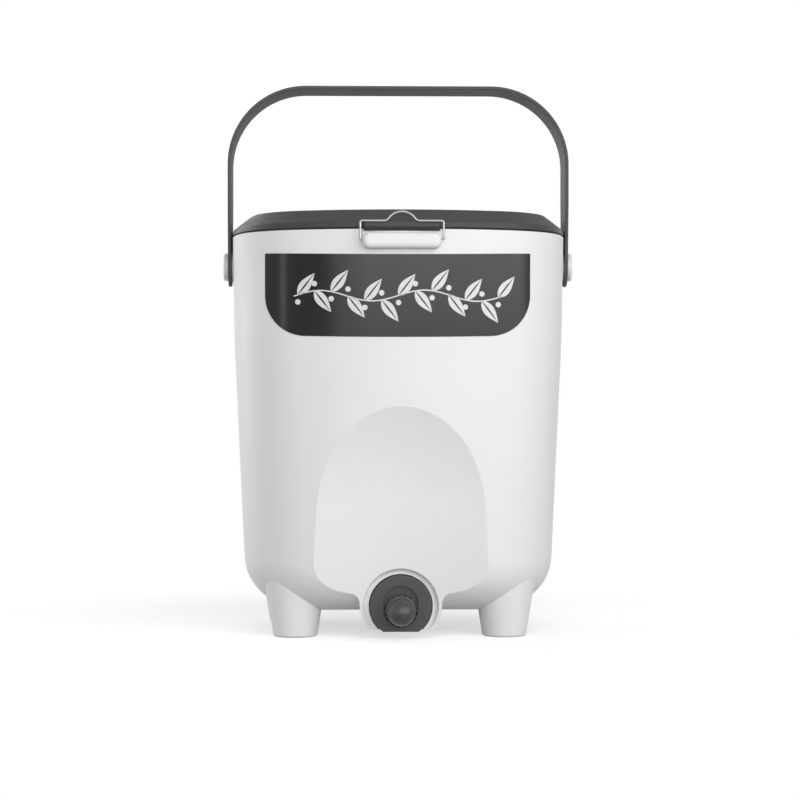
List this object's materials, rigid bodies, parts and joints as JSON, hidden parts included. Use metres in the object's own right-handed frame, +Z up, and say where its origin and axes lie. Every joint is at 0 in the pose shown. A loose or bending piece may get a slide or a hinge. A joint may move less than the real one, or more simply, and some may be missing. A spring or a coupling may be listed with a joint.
{
  "type": "bokashi bin",
  "caption": "Tapered kitchen fermenting bin on feet, with a latched lift-off lid, a swinging strap handle, an inner strainer plate and a quarter-turn drain tap in an arched niche.",
  "frame": {"origin": "floor level under the middle of the bin", "axes": "+Z up, front with the tap towards -Y, +X to the right seen from the front"},
  "size_m": [0.3106, 0.28, 0.4815],
  "materials": {
    "white_plastic": "moulded polypropylene, fine satin texture",
    "charcoal_plastic": "moulded polypropylene, satin",
    "label_film": "printed plastic film, satin",
    "grey_plastic": "moulded nylon, satin",
    "tap_plastic": "moulded polypropylene, satin",
    "strainer_plastic": "moulded polypropylene, satin",
    "seal_rubber": "soft moulded rubber",
    "bright_wire": "bright drawn steel wire"
  },
  "bodies": {
    "bin": {"bin_body": "white_plastic", "front_label": "label_film", "left_pivot_rivet": "grey_plastic", "right_pivot_rivet": "grey_plastic", "left_pivot_washer": "grey_plastic", "right_pivot_washer": "grey_plastic", "left_pivot_clip": "grey_plastic", "right_pivot_clip": "grey_plastic", "tap_housing": "tap_plastic", "tap_gasket": "seal_rubber", "tap_washer": "seal_rubber", "tap_lock_nut": "tap_plastic"},
    "lid": {"lid": "charcoal_plastic", "lid_seal": "seal_rubber"},
    "handle": {"handle": "charcoal_plastic"},
    "front_latch": {"front_latch_wire": "bright_wire"},
    "rear_latch": {"rear_latch_wire": "bright_wire"},
    "strainer": {"strainer": "strainer_plastic"},
    "tap_valve": {"tap_knob": "tap_plastic", "tap_plug": "tap_plastic", "tap_o_rings": "seal_rubber", "tap_retainer": "tap_plastic"}
  },
  "joints": [
    {"name": "handle_swing", "type": "hinge", "parent": "bin", "child": "handle", "pos_m": [0, 0, 0.3225], "axis": [1, 0, 0], "range_deg": [-115, 115]},
    {"name": "lid_lift", "type": "slide", "parent": "bin", "child": "lid", "axis": [0, 0, 1], "range_m": [0, 0.055]},
    {"name": "front_latch_swing", "type": "hinge", "parent": "bin", "child": "front_latch", "pos_m": [0, -0.1353, 0.338], "axis": [1, 0, 0], "range_deg": [0, 150]},
    {"name": "rear_latch_swing", "type": "hinge", "parent": "bin", "child": "rear_latch", "pos_m": [0, 0.1353, 0.338], "axis": [-1, 0, 0], "range_deg": [0, 150]},
    {"name": "tap_turn", "type": "hinge", "parent": "bin", "child": "tap_valve", "pos_m": [0, -0.1002, 0.025], "axis": [0, 1, 0], "range_deg": [0, 90]},
    {"name": "strainer_lift", "type": "slide", "parent": "bin", "child": "strainer", "axis": [0, 0, 1], "range_m": [0, 0.27]}
  ]
}
